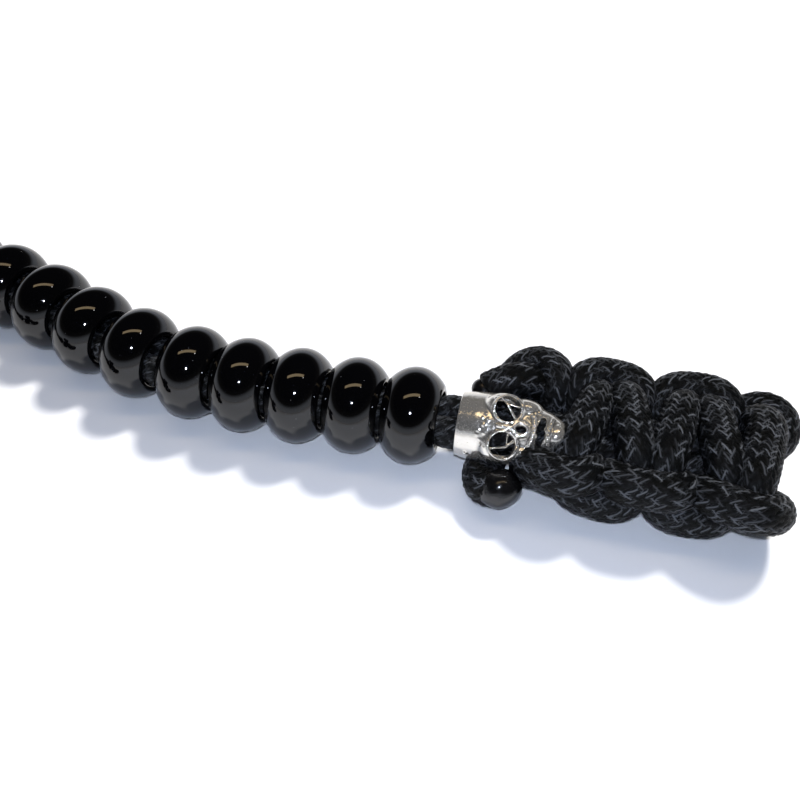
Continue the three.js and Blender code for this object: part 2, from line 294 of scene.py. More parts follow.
def draw_tight(strands, posts, spacing, shrink, rounds, pins, press):
    """Shortens loose strands round each other and the fixed posts until the knot is drawn.

    strands, posts: arrays of points about STEP apart. pins: for each strand, how many points are
    held at its start and end. Strands bend stiffly, keep `spacing` between centres, shrink to
    `shrink` of their length and stay within `press` of the middle plane. Nothing here is random.
    """
    lines = [even(np.asarray(p, float), STEP) for p in strands]
    parts = lines + [np.asarray(p, float) for p in posts]
    x = np.vstack(parts)
    owner = np.concatenate([np.full(len(q), i) for i, q in enumerate(parts)])
    place = np.concatenate([np.arange(len(q)) for q in parts])
    fixed = owner >= len(lines)
    starts = np.cumsum([0] + [len(q) for q in lines])
    for k, (a, b) in enumerate(pins):
        fixed[starts[k]:starts[k] + a] = True
        fixed[starts[k + 1] - b:starts[k + 1]] = True
    rest = [np.linalg.norm(np.diff(q, axis=0), axis=1).mean() for q in lines]
    first, second = np.triu_indices(len(x), 1)
    apart = ~((owner[first] == owner[second]) & (np.abs(place[first] - place[second]) < 5))
    apart &= ~(fixed[first] & fixed[second])
    first, second = first[apart], second[apart]
    for turn in range(rounds):
        if turn % 8 == 0:
            near = ((x[second] - x[first]) ** 2).sum(1) < (spacing + 2.0) ** 2
            i_near, j_near = first[near], second[near]
        left = 1 - (1 - shrink) * min(1.0, turn / (0.7 * rounds))
        for k, q in enumerate(lines):
            a, b = starts[k], starts[k + 1]
            s = x[a:b]
            bend = np.zeros_like(s)
            bend[1:-1] = (s[:-2] + s[2:]) / 2 - s[1:-1]
            twice = np.zeros_like(s)
            twice[1:-1] = (bend[:-2] + bend[2:]) / 2 - bend[1:-1]
            move = -0.35 * twice + 0.02 * bend
            move[fixed[a:b]] = 0
            x[a:b] += move
        for _ in range(4):
            for k in range(len(lines)):
                a, b = starts[k], starts[k + 1]
                for odd in (0, 1):
                    i = np.arange(a + odd, b - 1, 2)
                    gap = x[i + 1] - x[i]
                    size = np.linalg.norm(gap, axis=1)[:, None]
                    pull = gap * (size - rest[k] * left) / size * 0.5
                    x[i] += pull * ~fixed[i][:, None]
                    x[i + 1] -= pull * ~fixed[i + 1][:, None]
            gap = x[j_near] - x[i_near]
            square = (gap ** 2).sum(1)
            hit = (square < spacing ** 2) & (square > 1e-9)
            i, j, gap = i_near[hit], j_near[hit], gap[hit]
            size = np.sqrt(square[hit])[:, None]
            push = gap / size * (spacing - size) * 0.3
            give_i = np.where(fixed[i], 0, np.where(fixed[j], 2, 1))[:, None]
            give_j = np.where(fixed[j], 0, np.where(fixed[i], 2, 1))[:, None]
            move = np.zeros_like(x)
            count = np.zeros(len(x))
            np.add.at(move, i, -push * give_i)
            np.add.at(move, j, push * give_j)
            np.add.at(count, i, 1)
            np.add.at(count, j, 1)
            x += move / np.sqrt(np.maximum(count, 1))[:, None]
            x[:, 2] = np.where(fixed, x[:, 2], np.clip(x[:, 2], -press, press))
    return [x[starts[k]:starts[k + 1]] for k in range(len(lines))]


def loose_weave(sizes):
    """Routes of the front and back strand in the bar's frame, listed point by point, before they are drawn tight."""
    pitch, s0 = sizes.half_knot / MM, sizes.first / MM
    # Each strand leaves the end of its core cord in a lobe and turns back along the bar.
    front = [(38.0, -1.9, 0.0), (39.8, -1.9, 0.0), (40.5, -3.6, 0.0), (40.6, -6.2, 0.0), (40.3, -8.2, 0.6),
             (39.6, -7.9, 2.0)]
    back = [(38.0, 1.9, 0), (40.6, 1.8, 0.3), (42.0, 2.8, 0.8), (42.4, 5.4, 1.2), (41.8, 7.6, 0.9),
            (40.2, 8.4, -0.6), (39.6, 6.6, -2.2)]
    for j in range(6):
        s = s0 - j * pitch
        c = s - pitch / 2
        far = 1 if j % 2 == 0 else -1
        if j < 5:
            # The front strand lies over the cores, leaning so that two crossings meet under each arch,
            # and turns low under the edge.
            front += [(s + 0.18 * n, far * n, z)
                      for n, z in ((-6.0, 2.6), (-3.2, 3.6), (0, 3.9), (3.2, 3.6), (6.0, 2.6))]
            out, low = (9.6, -0.2) if far > 0 else (7.9, -0.9)
            front += [(s + 0.9, far * 7.4, 0.6), (s - 0.4, far * 8.4, -1.0), (c, far * out, low)]
            if j < 4:
                front += [(s - pitch + 0.4, far * 8.4, -1.0), (s - pitch - 0.9, far * 7.4, 0.6)]
        # The back strand passes under the cores, comes up through the front strand's turn and
        # arches along the edge over the front strand.
        back += [(s, far * n, z) for n, z in ((4.6, -3.0), (2.5, -3.2), (0, -3.2), (-2.5, -3.2), (-4.4, -2.6))]
        reach, out, top, sides = (3.6, 8.6, 1.5, 1.8) if far > 0 else (3.6, 9.1, 1.6, 2.0)
        back += [(c + reach, -far * 5.2, -1.0), (c + reach - 0.3, -far * 6.4, 0.9), (c + 2.1, -far * 8.0, sides),
                 (c, -far * out, top)]
        if j < 5:
            back += [(c - 2.1, -far * 8.0, sides), (c - reach + 0.3, -far * 6.4, 0.9), (c - reach, -far * 5.2, -1.0)]
    # The front strand ends beside the skull; the back strand makes its last arch over that end,
    # passes under the cores and ends at the near edge.
    front[-3:] = [(16.6, 8.6, -0.4), (15.0, 7.4, 1.6), (13.2, 6.0, 2.6), (11.2, 5.0, 2.6), (9.4, 4.2, 2.0),
                  (8.0, 3.4, 1.2)]
    back += [(11.4, 8.3, 1.4), (10.4, 7.0, 0.5), (10.2, 5.2, -1.4), (10.4, 2.6, -3.0), (10.4, 0.0, -3.2),
             (9.9, -2.8, -3.2), (9.3, -5.0, -3.1), (9.3, -7.0, -2.7), (10.4, -8.5, -2.2), (11.8, -9.0, -1.6)]
    return smooth_path(front, STEP), smooth_path(back, STEP)


# ---------------------------------------------------------------- braided tube

def braid(around, along, radius, sizes):
    """Height of the sheath's yarns, and which yarn shows, at an angle and a length along."""
    carriers = sizes.carriers
    lead = math.tan(sizes.braid_angle) / radius
    a = (around - lead * along) * carriers / (2 * math.pi)
    b = (around + lead * along) * carriers / (2 * math.pi)
    i, j = np.round(a), np.round(b)
    rise, wave = sizes.yarn_rise / MM, sizes.yarn_wave / MM
    left = rise * np.sqrt(1 - 0.96 * (2 * (a - i)) ** 2) + wave * np.cos((i + b - 0.5) * math.pi / 2)
    right = rise * np.sqrt(1 - 0.96 * (2 * (b - j)) ** 2) - wave * np.cos((a + j - 0.5) * math.pi / 2)
    top = left >= right
    height = np.where(top, left, right)
    across = np.where(top, a - i, b - j)
    seed = np.where(top, i % carriers * 12.9898 + np.floor((i + b - 0.5) / 4 + 0.5) * 78.233,
                    j % carriers * 39.425 + np.floor((a + j + 1.5) / 4 + 0.5) * 11.135 + 50)
    chance = np.modf(np.abs(np.sin(seed) * 43758.5453))[0]
    return height, across, chance


def squeeze(rings, centres, others, reach):
    """Flattens a tube's rings where other centre lines lie closer than two radii."""
    for k, c in enumerate(centres):
        gap = others[k] - c
        size = np.linalg.norm(gap, axis=1)
        for q in np.flatnonzero(size < 2 * reach[k]):
            n = gap[q] / size[q]
            over = (rings[k] - c) @ n - (size[q] / 2 - 0.01)
            rings[k] -= np.clip(over, 0, None)[:, None] * n
    return rings


def braided_tube(name, line, radius, sides, sizes, neighbours=()):
    """A closed tube of braided sheath along a centre line, in metres, with the yarns' own attributes.

    line: evenly spaced points in millimetres; radius: one number or one for each point;
    neighbours: other cords' centre lines that this one is pressed against.
    """
    radius = np.broadcast_to(np.asarray(radius, float), len(line))
    curve = bpy.data.curves.new(name, "CURVE")
    curve.dimensions = "3D"
    curve.twist_mode = "MINIMUM"
    curve.bevel_depth = 1.0
    curve.bevel_resolution = sides // 2 - 2
    spline = curve.splines.new("POLY")
    spline.points.add(len(line) - 1)
    spline.points.foreach_set("co", np.c_[line, np.ones(len(line))].ravel())
    spline.points.foreach_set("radius", radius)
    made = bpy.data.objects.new(name, curve)
    bpy.context.scene.collection.objects.link(made)
    graph = bpy.context.evaluated_depsgraph_get()
    mesh = bpy.data.meshes.new_from_object(made.evaluated_get(graph))
    bpy.data.objects.remove(made)
    count = len(mesh.vertices) // len(line)
    rings = coordinates(mesh).reshape(len(line), count, 3)
    out = rings - line[:, None]
    out /= np.linalg.norm(out, axis=2)[:, :, None]
    run = np.r_[0, np.cumsum(np.linalg.norm(np.diff(line, axis=0), axis=1))]
    around = np.arange(count) * 2 * math.pi / count
    height, across, chance = braid(np.broadcast_to(around, (len(line), count)),
                                   np.broadcast_to(run[:, None], (len(line), count)),
                                   float(np.median(radius)), sizes)
    rise = sizes.yarn_rise / MM
    core = line[:, None] + out * (radius[:, None, None] - rise)
    # Ends close to a blunt point inside their melted tips or their neighbours.
    taper = np.clip(np.minimum(run, run[-1] - run) / 0.6, 0.0, 1.0) ** 0.5
    core = line[:, None] + (core - line[:, None]) * taper[:, None, None]
    own = line[::5]
    fore = run[::5]
    sets = []
    for k in range(len(line)):
        near = [own[np.abs(fore - run[k]) > 9.0]] + [np.asarray(q) for q in neighbours]
        pool = np.vstack(near)
        sets.append(pool[np.abs(pool - line[k]).max(axis=1) < 2.2 * radius[k]])
    core = squeeze(core, line, sets, radius)
    rings = core + out * (height * taper[:, None])[:, :, None]
    # What would sink into the floor is pressed flat on it.
    low = FLOOR + 0.02
    rings[:, :, 2] = np.where(rings[:, :, 2] < low, low + (rings[:, :, 2] - low) * 0.04, rings[:, :, 2])
    mesh.vertices.foreach_set("co", (rings.reshape(-1, 3) * MM).ravel())
    # Yarn height, place across a yarn and a random number per stitch: from these the nylon material paints shade
    # between the yarns and glints on their crowns.
    lift = np.clip((height + sizes.yarn_wave / MM * 0.3) / rise, 0, 1)
    for key, values in (("lift", lift), ("across", across), ("chance", chance)):
        mesh.attributes.new(key, "FLOAT", "POINT").data.foreach_set("value", values.ravel())
    bm = bmesh.new()
    bm.from_mesh(mesh)
    rims = [e for e in bm.edges if e.is_boundary]
    bmesh.ops.holes_fill(bm, edges=rims, sides=0)
    bmesh.ops.recalc_face_normals(bm, faces=bm.faces)
    bm.to_mesh(mesh)
    bm.free()
    return mesh


# ---------------------------------------------------------------- materials

def polished_acrylic(sizes):
    """Moulded and tumbled acrylic: wet-looking black, with faint rub marks and specks of dust."""
    made, tree, shader = new_material("polished_black_acrylic")
    shader.inputs["Base Color"].default_value = linear(sizes.colour)
    shader.inputs["IOR"].default_value = 1.49
    place = add_node(tree, "TexCoord").outputs["Object"]
    # Tumbling leaves a swell of a few millimetres and rubs about a tenth of a millimetre wide.
    swell = add_node(tree, "TexNoise", Vector=place, Scale=260.0, Detail=2.0)
    rubs = add_node(tree, "TexNoise", Vector=place, Scale=5200.0, Detail=3.0, Roughness=0.6)
    rough = add_node(tree, "MapRange", Value=rubs.outputs["Fac"], From_Min=0.35, From_Max=0.75, To_Min=0.025,
                     To_Max=0.075)
    tree.links.new(rough.outputs["Result"], shader.inputs["Roughness"])
    total = add_node(tree, "Math", {"operation": "MULTIPLY_ADD"}, i0=rubs.outputs["Fac"], i1=0.02,
                     i2=swell.outputs["Fac"])
    bump = add_node(tree, "Bump", Strength=0.25, Distance=0.00002, Height=total.outputs[0])
    tree.links.new(bump.outputs["Normal"], shader.inputs["Normal"])
    # Dust specks about 0.05 mm wide and a millimetre or two apart.
    dust = add_node(tree, "TexVoronoi", Vector=place, Scale=900.0)
    speck = add_node(tree, "Math", {"operation": "LESS_THAN"}, i0=dust.outputs["Distance"], i1=0.035)
    colour = add_node(tree, "Mix", {"data_type": "RGBA"}, Factor=speck.outputs[0])
    colour.inputs[6].default_value = linear(sizes.colour)
    colour.inputs[7].default_value = linear("#8e9196")
    tree.links.new(colour.outputs[2], shader.inputs["Base Color"])
    return made


def braided_nylon(sizes):
    """Woven nylon sheath: near-black yarns of fine filaments, with painted shade between the yarns and painted silver
    glints where they crown.
    """
    made, tree, shader = new_material("braided_black_nylon")
    shader.inputs["IOR"].default_value = 1.53
    lift = add_node(tree, "Attribute", {"attribute_name": "lift"}).outputs["Fac"]
    across = add_node(tree, "Attribute", {"attribute_name": "across"}).outputs["Fac"]
    chance = add_node(tree, "Attribute", {"attribute_name": "chance"}).outputs["Fac"]
    place = add_node(tree, "TexCoord").outputs["Object"]
    # Painted shade: down a yarn's flanks and between yarns its colour darkens towards the painted shade colour.
    depth = add_node(tree, "MapRange", Value=lift, From_Min=0.45, From_Max=1.0)
    painted_shade_mix = add_node(tree, "Mix", {"data_type": "RGBA"}, Factor=depth.outputs["Result"])
    painted_shade_mix.inputs[6].default_value = linear(sizes.shade)
    painted_shade_mix.inputs[7].default_value = linear(sizes.colour)
    # A few stitches, picked at random, get a painted glint; dye is a little olive in patches 3 mm wide.
    patches = add_node(tree, "TexNoise", Vector=place, Scale=330.0, Detail=1.0)
    olive = add_node(tree, "MapRange", Value=patches.outputs["Fac"], From_Min=0.48, From_Max=0.66, To_Max=0.55)
    dyed = add_node(tree, "Mix", {"data_type": "RGBA", "blend_type": "MULTIPLY"}, Factor=olive.outputs["Result"],
                    i6=painted_shade_mix.outputs[2])
    dyed.inputs[7].default_value = linear("#d9d6a8")
    shader.inputs["Specular IOR Level"].default_value = 0.1
    # Painted highlight: the crown of a stitch picked at random gets a pale grey glint painted into its colour, and
    # lower roughness; other stitches and the yarns' flanks stay dark.
    crown = add_node(tree, "MapRange", Value=lift, From_Min=0.88, From_Max=1.0)
    glint_chance = add_node(tree, "MapRange", Value=chance, From_Min=0.3, From_Max=1.0)
    aside = add_node(tree, "Math", {"operation": "ABSOLUTE"}, i0=across)
    thin = add_node(tree, "MapRange", Value=aside.outputs[0], From_Min=0.06, From_Max=0.22, To_Min=1.0, To_Max=0.0)
    both = add_node(tree, "Math", {"operation": "MULTIPLY"}, i0=crown.outputs["Result"], i1=glint_chance.outputs["Result"])
    painted_glint_mask = add_node(tree, "Math", {"operation": "MULTIPLY"}, i0=both.outputs[0], i1=thin.outputs["Result"])
    painted_glint = add_node(tree, "Mix", {"data_type": "RGBA"}, Factor=painted_glint_mask.outputs[0], i6=dyed.outputs[2])
    painted_glint.inputs[7].default_value = linear("#56595e")
    tree.links.new(painted_glint.outputs[2], shader.inputs["Base Color"])
    rough = add_node(tree, "MapRange", Value=painted_glint_mask.outputs[0], To_Min=0.42, To_Max=0.28)
    tree.links.new(rough.outputs["Result"], shader.inputs["Roughness"])
    # About seven filaments show across a yarn, drawn coarser than real ones so that they read.
    turns = add_node(tree, "Math", {"operation": "MULTIPLY"}, i0=across, i1=2 * math.pi * 5)
    ridge = add_node(tree, "Math", {"operation": "SINE"}, i0=turns.outputs[0])
    fuzz = add_node(tree, "TexNoise", Vector=place, Scale=9000.0, Detail=2.0)
    total = add_node(tree, "Math", {"operation": "MULTIPLY_ADD"}, i0=ridge.outputs[0], i1=0.35,
                     i2=fuzz.outputs["Fac"])
    bump = add_node(tree, "Bump", Strength=0.8, Distance=0.00003, Height=total.outputs[0])
    tree.links.new(bump.outputs["Normal"], shader.inputs["Normal"])
    return made


def melted_nylon():
    """Nylon end melted with a flame: a smooth hard bead with soft dimples."""
    made, tree, shader = new_material("melted_nylon")
    shader.inputs["Base Color"].default_value = linear("#0a0a0b")
    shader.inputs["IOR"].default_value = 1.53
    place = add_node(tree, "TexCoord").outputs["Object"]
    # Dimples about a millimetre wide, and bubbles a tenth of that.
    dimples = add_node(tree, "TexNoise", Vector=place, Scale=900.0, Detail=3.0)
    rough = add_node(tree, "MapRange", Value=dimples.outputs["Fac"], From_Min=0.3, From_Max=0.7, To_Min=0.12,
                     To_Max=0.3)
    tree.links.new(rough.outputs["Result"], shader.inputs["Roughness"])
    bump = add_node(tree, "Bump", Strength=0.5, Distance=0.00008, Height=dimples.outputs["Fac"])
    tree.links.new(bump.outputs["Normal"], shader.inputs["Normal"])
    return made


def chromed_zinc(sizes):
    """Chrome over die-cast zinc: a bright mirror with casting pits, and painted shade darkening its recesses."""
    made, tree, shader = new_material("chromed_cast_zinc")
    # Hazy plating scatters part of the light, so the metal looks silver even under a dark room.
    shader.inputs["Metallic"].default_value = 0.86
    place = add_node(tree, "TexCoord").outputs["Object"]
    recess_shade_mask = add_node(tree, "Attribute", {"attribute_name": "recess_shade_mask"}).outputs["Fac"]
    # Pits are about 0.15 mm wide; the plating's ripple is about a millimetre.
    pits = add_node(tree, "TexNoise", Vector=place, Scale=4200.0, Detail=3.0, Roughness=0.65)
    ripple = add_node(tree, "TexNoise", Vector=place, Scale=800.0, Detail=1.0)
    rough = add_node(tree, "MapRange", Value=pits.outputs["Fac"], From_Min=0.4, From_Max=0.72, To_Min=0.12,
                     To_Max=0.3)
    tree.links.new(rough.outputs["Result"], shader.inputs["Roughness"])
    # Painted shade: the plated colour darkens in the cast's hollows.
    painted_shade_mix = add_node(tree, "Mix", {"data_type": "RGBA"}, Factor=recess_shade_mask)
    painted_shade_mix.inputs[6].default_value = linear(sizes.colour)
    painted_shade_mix.inputs[7].default_value = linear("#4a4640")
    tree.links.new(painted_shade_mix.outputs[2], shader.inputs["Base Color"])
    total = add_node(tree, "Math", {"operation": "MULTIPLY_ADD"}, i0=pits.outputs["Fac"], i1=0.25,
                     i2=ripple.outputs["Fac"])
    bump = add_node(tree, "Bump", Strength=0.35, Distance=0.00012, Height=total.outputs[0])
    tree.links.new(bump.outputs["Normal"], shader.inputs["Normal"])
    return made


def matt_paper(colour):
    """Heavy white paper: even and matt, with a fibre grain of about a third of a millimetre."""
    made, tree, shader = new_material("matt_white_paper")
    shader.inputs["Base Color"].default_value = linear(colour)
    shader.inputs["Roughness"].default_value = 0.9
    shader.inputs["Specular IOR Level"].default_value = 0.1
    place = add_node(tree, "TexCoord").outputs["Object"]
    grain = add_node(tree, "TexNoise", Vector=place, Scale=3000.0, Detail=2.0)
    bump = add_node(tree, "Bump", Strength=0.1, Distance=0.00005, Height=grain.outputs["Fac"])
    tree.links.new(bump.outputs["Normal"], shader.inputs["Normal"])
    return made


# ---------------------------------------------------------------- pieces

class STRAND_OT_cords(Operator):
    """Draws the woven bar tight and braids its strands, the runs through the beads and their tips"""
    bl_idname = "strand.cords"
    bl_label = "Cords"

    def execute(self, context):
        cord, weave = context.scene.strand_cord, context.scene.strand_weave
        nylon = braided_nylon(cord)
        runs, run_radius = run_paths(0.25, cord)
        posts = []
        for line in runs:
            b = to_bar(line)
            posts.append(even(b[b[:, 0] > 4], 0.8)[2:])
        loose = loose_weave(weave)
        front, back = draw_tight(loose, posts, weave.spacing / MM, weave.shrink, 24, [(3, 2), (3, 3)], 3.5)
        front, back = from_bar(front), from_bar(back)
        radius = cord.woven_radius / MM
        cores = [even(line[to_bar(line)[:, 0] > 2], STEP) for line in runs]
        for name, line, other, node in (("woven_front_strand", front, back, "weave_front_strand"),
                                        ("woven_back_strand", back, front, "weave_back_strand")):
            mesh = braided_tube(name, smooth_path(line, 0.16), radius, 80, cord, [other] + cores)
            add_piece(name, mesh, nylon, "root", [node])
        for name, line, other in (("threaded_strand_far", runs[0], runs[1]),
                                  ("threaded_strand_near", runs[1], runs[0])):
            node = "cord_run_far" if name.endswith("far") else "cord_run_near"
            mesh = braided_tube(name, line, run_radius, 48, cord, [even(other, STEP), front, back])
            add_piece(name, mesh, nylon, "root", [node])
        tip = melted_nylon()
        for name, line, node, size in (("front_melted_tip", front, "front_melted_end", (1.5, 2.0, 2.0)),
                                       ("back_melted_tip", back, "back_melted_end", (2.7, 2.6, 2.2))):
            mesh = melted_tip(line[-1], line[-1] - line[-3], size)
            add_piece(name, mesh, tip, "root", [node])
        return {"FINISHED"}


def melted_tip(at, heading, size):
    """A lumpy dome that caps a cord's end, in metres."""
    bm = bmesh.new()
    bmesh.ops.create_icosphere(bm, subdivisions=5, radius=1.0)
    bmesh.ops.scale(bm, vec=Vector(size), verts=bm.verts)
    for v in bm.verts:
        p = v.co.normalized()
        v.co += p * (0.10 * math.sin(3 * p.y + 2 * p.z + 0.7) + 0.06 * math.sin(5 * p.z - 4 * p.x))
    turn = Vector(heading).to_track_quat("X", "Z").to_matrix().to_4x4()
    bm.transform(Matrix.Scale(MM, 4) @ Matrix.Translation(Vector(at)) @ turn)
    return mesh_from(bm)


class STRAND_OT_beads(Operator):
    """Spins every bead from its outline and threads it on the cord"""
    bl_idname = "strand.beads"
    bl_label = "Beads"

    def execute(self, context):
        sizes = context.scene.strand_bead
        acrylic = polished_acrylic(sizes)
        half, equator = sizes.length / 2, sizes.diameter / 2
        face, bore = sizes.face / 2, sizes.bore / 2
        belly = half / math.sqrt(1 - (face / equator) ** 2)
        outline = []
        for k in range(25):
            x = half * 0.985 * math.sin(math.pi / 2 * (k / 12 - 1))
            outline.append((x, equator * math.sqrt(1 - (x / belly) ** 2)))
        lip = [(half * 0.997, face * 0.96), (half, face * 0.93), (half, bore * 1.07), (half * 0.985, bore * 1.02),
               (half * 0.94, bore), (half * 0.5, bore * 0.995)]
        outline += lip + [(0.0, bore * 0.99)] + [(-x, r) for x, r in reversed(lip)]
        for name in BEADS:
            bm = bmesh.new()
            ring = [bm.verts.new((x, 0, r)) for x, r in outline]
            edges = [bm.edges.new((ring[k], ring[(k + 1) % len(ring)])) for k in range(len(ring))]
            bmesh.ops.spin(bm, geom=ring + edges, cent=(0, 0, 0), axis=(1, 0, 0), angle=2 * math.pi,
                           steps=sizes.steps, use_merge=True)
            bmesh.ops.remove_doubles(bm, verts=bm.verts, dist=1e-7)
            bmesh.ops.recalc_face_normals(bm, faces=bm.faces)
            low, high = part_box(name)
            axis = Vector(JOINTS[name]["axis"])
            bm.transform(Matrix.Translation((low + high) / 2) @ axis.to_track_quat("X", "Z").to_matrix().to_4x4())
            add_piece("black_" + name, mesh_from(bm), acrylic, name, [name])
        return {"FINISHED"}


class STRAND_OT_stopper(Operator):
    """Ties the doubled cord in an overhand knot after the last bead and leaves its bight as a loop"""
    bl_idname = "strand.stopper"
    bl_label = "Knot and loop"

    def execute(self, context):
        cord = context.scene.strand_cord
        nylon = bpy.data.materials["braided_black_nylon"]
        low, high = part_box("stopper_knot")
        middle = np.array((low + high) / 2) / MM
        middle[2] = AXIS_HEIGHT + FLOOR + 0.6
        half = (KNOT_END - KNOT_START) / 2
        # An open overhand knot along x, loose; the two strands lie side by side in it.
        t = np.linspace(-2.08, 2.08, 43)
        knot = np.stack([(t ** 3 - 3 * t) * 1.9, (t ** 4 - 4 * t ** 2) * 2.1 + 3.6, (t ** 5 - 10 * t) * 0.24], axis=1)
        knot = knot[np.argsort(t)]
        lead = np.array([(-half - 0.2, 0, -0.6), (-half + 1.6, 0, -0.5)])
        route = smooth_path(np.vstack([lead, knot, -lead[::-1] * (1, 0, 0)]), STEP)
        side = np.cross(np.gradient(route, axis=0), (0, 0, 1))
        side /= np.maximum(np.linalg.norm(side, axis=1), 0.2)[:, None]
        loose = [route + side * 1.75 * k for k in (-1, 1)]
        rounds = 300
        # The last bead's face, when it has slid home, keeps the knot's turns off.
        face = [(-half - 1.1, r * math.cos(t), r * math.sin(t)) for r in (4.2, 5.6)
                for t in np.linspace(0, 2 * math.pi, 16, endpoint=False)]
        tight = draw_tight(loose, [face], 3.2, 0.42, rounds, [(3, 3), (3, 3)], 4.6)
        strands = [line + middle for line in tight]
        mesh = None
        for k in (0, 1):
            part = braided_tube("knot", smooth_path(strands[k], 0.2), 1.85, 56, cord, [strands[1 - k]])
            bm = bmesh.new()
            if mesh:
                bm.from_mesh(mesh)
            bm.from_mesh(part)
            mesh = mesh_from(bm)
        add_piece("overhand_knot", mesh, nylon, "root", ["stopper_knot"])
        low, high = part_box("hanging_loop")
        ends = [line[-1] for line in strands]
        ends.sort(key=lambda p: p[1])
        width = (high.y - low.y) / MM / 2 - 2.0
        reach = high.x / MM - 2.0
        y, z = middle[1], 2.1 + FLOOR
        route = [ends[0], (ends[0][0] + 1.6, ends[0][1] - 0.6, ends[0][2] - 1.0),
                 (reach - 8.5, y - width * 0.86, z + 0.9), (reach - 4.5, y - width, z),
                 (reach - 1.2, y - width * 0.7, z), (reach, y, z), (reach - 1.2, y + width * 0.7, z),
                 (reach - 4.5, y + width, z),
                 (reach - 8.5, y + width * 0.86, z + 0.9),
                 (ends[1][0] + 1.6, ends[1][1] + 0.6, ends[1][2] - 1.0), ends[1]]
        mesh = braided_tube("loop", smooth_path(route, 0.2), 2.0, 56, cord)
        add_piece("cord_loop", mesh, nylon, "root", ["hanging_loop"])
        return {"FINISHED"}


# The skull's own frame, in millimetres: x from crown to chin, y across the face, z out of it.
def skull_place():
    """Turns the skull's own millimetres into its place on the cord, in metres."""
    joint = JOINTS["skull"]
    axis = Vector(joint["axis"])
    turn = axis.to_track_quat("X", "Z").to_matrix().to_4x4() @ Matrix.Rotation(math.radians(38), 4, "X")
    return Matrix.Translation(Vector(joint["pos_m"])) @ turn @ Matrix.Scale(MM, 4)


def blob(bm, place, size, level=4):
    """Adds a stretched ball to a mesh."""
    made = bmesh.ops.create_icosphere(bm, subdivisions=level, radius=1.0)["verts"]
    bmesh.ops.scale(bm, vec=Vector(size), verts=made)
    bmesh.ops.translate(bm, vec=Vector(place), verts=made)


def rib(bm, points, radius):
    """Adds a round rib along a polyline: balls joined by cones."""
    points = [Vector(p) for p in points]
    sizes = [radius] * len(points) if isinstance(radius, (int, float)) else list(radius)
    for k, p in enumerate(points):
        blob(bm, p, (sizes[k],) * 3, level=2)
        if k:
            gap = p - points[k - 1]
            made = bmesh.ops.create_cone(bm, cap_ends=True, segments=12, radius1=sizes[k - 1], radius2=sizes[k],
                                         depth=gap.length)["verts"]
            bmesh.ops.rotate(bm, cent=(0, 0, 0), matrix=gap.to_track_quat("Z", "Y").to_matrix(), verts=made)
            bmesh.ops.translate(bm, vec=(p + points[k - 1]) / 2, verts=made)


def remeshed(mesh, voxel, rounds):
    """Fuses a mesh's shells on a voxel grid, then smooths it."""
    made = bpy.data.objects.new("fuse", mesh)
    bpy.context.scene.collection.objects.link(made)
    grid = made.modifiers.new("grid", "REMESH")
    grid.mode = "VOXEL"
    grid.voxel_size = voxel
    if rounds:
        soft = made.modifiers.new("soft", "SMOOTH")
        soft.factor, soft.iterations = 0.5, rounds
    return baked(made)


def baked(made):
    """The mesh that an object's modifiers make; the object is dropped."""
    graph = bpy.context.evaluated_depsgraph_get()
    out = bpy.data.meshes.new_from_object(made.evaluated_get(graph))
    bpy.data.objects.remove(made)
    return out


def carved(mesh, cutter):
    """The mesh less the cutter."""
    made = bpy.data.objects.new("cut", mesh)
    tool = bpy.data.objects.new("tool", cutter)
    for o in (made, tool):
        bpy.context.scene.collection.objects.link(o)
    cut = made.modifiers.new("cut", "BOOLEAN")
    cut.operation, cut.solver, cut.object = "DIFFERENCE", "EXACT", tool
    out = baked(made)
    bpy.data.objects.remove(tool)
    return out


